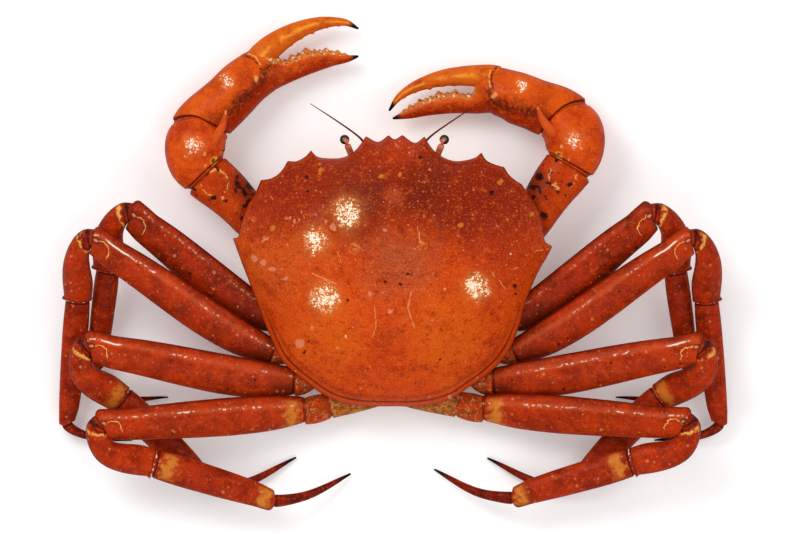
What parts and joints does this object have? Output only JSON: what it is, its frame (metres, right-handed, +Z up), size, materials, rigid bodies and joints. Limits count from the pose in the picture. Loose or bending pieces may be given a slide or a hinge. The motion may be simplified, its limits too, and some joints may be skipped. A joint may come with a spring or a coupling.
{
  "type": "deep-sea red crab",
  "caption": "Whole cooked red crab lying flat, legs folded at its sides and claws curled in front of a domed shield.",
  "frame": {"origin": "on the resting surface, under the middle of the crab's overall box, limbs included", "axes": "+Y towards the front of the crab, +X towards its own right, +Z up through the shield"},
  "size_m": [0.3148, 0.2328, 0.0631],
  "materials": {
    "carapace_shell": null,
    "leg_shell": "glossy brick-red crab shell with fine pits",
    "claw_shell": "glossy orange-red crab shell",
    "belly_shell": "satin cream and orange belly plates",
    "stalk_skin": "satin pink-orange skin",
    "eye_surface": "wet black"
  },
  "bodies": {
    "root": {"carapace": "carapace_shell", "thorax": "belly_shell", "tail_flap": "belly_shell", "left_leg_1_ischium": "leg_shell", "left_leg_1_merus": "leg_shell", "left_leg_1_carpus": "leg_shell", "left_leg_1_propodus": "leg_shell", "left_leg_1_dactyl": "leg_shell", "left_leg_2_ischium": "leg_shell", "left_leg_2_merus": "leg_shell", "left_leg_2_carpus": "leg_shell", "left_leg_2_propodus": "leg_shell", "left_leg_2_dactyl": "leg_shell", "left_leg_3_ischium": "leg_shell", "left_leg_3_merus": "leg_shell", "left_leg_3_carpus": "leg_shell", "left_leg_3_propodus": "leg_shell", "left_leg_3_dactyl": "leg_shell", "left_leg_4_ischium": "leg_shell", "left_leg_4_merus": "leg_shell", "left_leg_4_carpus": "leg_shell", "left_leg_4_propodus": "leg_shell", "left_leg_4_dactyl": "leg_shell", "left_arm_ischium": "claw_shell", "left_arm_merus": "claw_shell", "left_arm_carpus": "claw_shell", "left_palm": "claw_shell", "left_finger": "claw_shell", "left_eye_stalk": "stalk_skin", "left_eye": "eye_surface", "left_feeler": "stalk_skin", "right_leg_1_ischium": "leg_shell", "right_leg_1_merus": "leg_shell", "right_leg_1_carpus": "leg_shell", "right_leg_1_propodus": "leg_shell", "right_leg_1_dactyl": "leg_shell", "right_leg_2_ischium": "leg_shell", "right_leg_2_merus": "leg_shell", "right_leg_2_carpus": "leg_shell", "right_leg_2_propodus": "leg_shell", "right_leg_2_dactyl": "leg_shell", "right_leg_3_ischium": "leg_shell", "right_leg_3_merus": "leg_shell", "right_leg_3_carpus": "leg_shell", "right_leg_3_propodus": "leg_shell", "right_leg_3_dactyl": "leg_shell", "right_leg_4_ischium": "leg_shell", "right_leg_4_merus": "leg_shell", "right_leg_4_carpus": "leg_shell", "right_leg_4_propodus": "leg_shell", "right_leg_4_dactyl": "leg_shell", "right_arm_ischium": "claw_shell", "right_arm_merus": "claw_shell", "right_arm_carpus": "claw_shell", "right_palm": "claw_shell", "right_finger": "claw_shell", "right_eye_stalk": "stalk_skin", "right_eye": "eye_surface", "right_feeler": "stalk_skin"}
  },
  "joints": []
}
